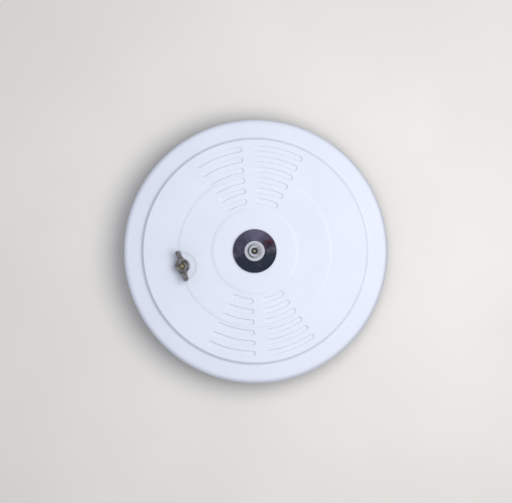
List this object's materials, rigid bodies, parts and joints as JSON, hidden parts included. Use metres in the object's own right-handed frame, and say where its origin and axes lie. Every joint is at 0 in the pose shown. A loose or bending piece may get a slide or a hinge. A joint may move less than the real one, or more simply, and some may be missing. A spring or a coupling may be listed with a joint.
{
  "type": "heat detector",
  "caption": "Round wall-mounted mechanical heat detector: grooved white metal bell cover, chromed heat collector with fusible plug, wing winding key, and a clockwork hammer inside.",
  "frame": {"origin": "centre of the back mounting face, on the axis of the cover", "axes": "+Z out of the mounting face through the heat collector; +Y along the middle of a fan of grooves, so that the two keyholes lie on the Y axis; the winding key is near -X"},
  "size_m": [0.211, 0.211, 0.0487],
  "materials": {
    "plated_steel": "zinc plated, satin",
    "stud_steel": "zinc plated",
    "nut_steel": "zinc plated",
    "movement_brass": "rolled sheet, satin",
    "turned_brass": "turned",
    "post_steel": "turned",
    "white_enamel": "smooth satin enamel",
    "fibre": "vulcanised fibre, matt",
    "bright_chrome": "mirror plated",
    "plated_cup": "nickel plated, turned",
    "fusible_alloy": "cast alloy, dull",
    "spring_steel": "blued spring steel",
    "wheel_brass": "stamped, satin",
    "arbor_steel": "polished",
    "hard_steel": "hardened",
    "key_casting": "die cast, darkened",
    "pinion_brass": "cut",
    "arm_steel": "stamped",
    "hammer_brass": "turned",
    "pin_brass": "polished"
  },
  "bodies": {
    "housing": {"base_plate": "plated_steel", "frame_studs": "stud_steel", "frame_nuts": "nut_steel", "rear_movement_plate": "movement_brass", "front_movement_plate": "movement_brass", "frame_pillars": "turned_brass", "pillar_nuts": "nut_steel", "centre_post": "post_steel", "post_rivets": "nut_steel", "cover": "white_enamel", "insulating_washer": "fibre", "heat_collector": "bright_chrome", "fuse_cup": "plated_cup", "fuse_alloy": "fusible_alloy", "mainspring": "spring_steel", "plunger_spring": "spring_steel"},
    "great_wheel": {"great_wheel": "wheel_brass", "great_wheel_collet": "turned_brass", "click_stud": "arbor_steel", "click_spring": "spring_steel"},
    "click": {"click": "hard_steel"},
    "winder": {"winding_arbor": "turned_brass", "ratchet_wheel": "hard_steel", "key_washer": "nut_steel", "winding_key": "key_casting"},
    "second": {"second_arbor": "arbor_steel", "second_pinion": "pinion_brass", "second_wheel": "wheel_brass"},
    "escape": {"escape_arbor": "arbor_steel", "escape_pinion": "pinion_brass", "escape_wheel": "wheel_brass"},
    "hammer": {"verge_arbor": "arbor_steel", "verge_collet": "turned_brass", "pallets": "hard_steel", "hammer_arm": "arm_steel", "hammer_head": "hammer_brass"},
    "plunger": {"release_plunger": "turned_brass", "fuse_pin": "pin_brass"}
  },
  "joints": [
    {"name": "great_wheel_spin", "type": "hinge", "parent": "housing", "child": "great_wheel", "pos_m": [-0.05843, -0.00821, 0.01975], "axis": [0, 0, 1], "continuous": true},
    {"name": "key_turn", "type": "hinge", "parent": "great_wheel", "child": "winder", "pos_m": [-0.05843, -0.00821, 0.01975], "axis": [0, 0, 1], "continuous": true, "deforming": ["mainspring"]},
    {"name": "click_lift", "type": "hinge", "parent": "great_wheel", "child": "click", "pos_m": [-0.04449, -0.01501, 0.0215], "axis": [0, 0, 1], "range_deg": [0, 12]},
    {"name": "second_spin", "type": "hinge", "parent": "housing", "child": "second", "pos_m": [-0.04528, -0.03293, 0.01975], "axis": [0, 0, 1], "continuous": true},
    {"name": "escape_spin", "type": "hinge", "parent": "housing", "child": "escape", "pos_m": [-0.0245, -0.04493, 0.01975], "axis": [0, 0, 1], "continuous": true},
    {"name": "hammer_swing", "type": "hinge", "parent": "housing", "child": "hammer", "pos_m": [-0.02902, -0.06184, 0.0165], "axis": [0, 0, -1], "range_deg": [0, 8]},
    {"name": "plunger_rise", "type": "slide", "parent": "housing", "child": "plunger", "axis": [0, 0, 1], "range_m": [0, 0.005], "deforming": ["plunger_spring"]}
  ],
  "couplings": [
    {"joint": "second_spin", "follows": "great_wheel_spin", "ratio": -6},
    {"joint": "escape_spin", "follows": "great_wheel_spin", "ratio": 30}
  ]
}
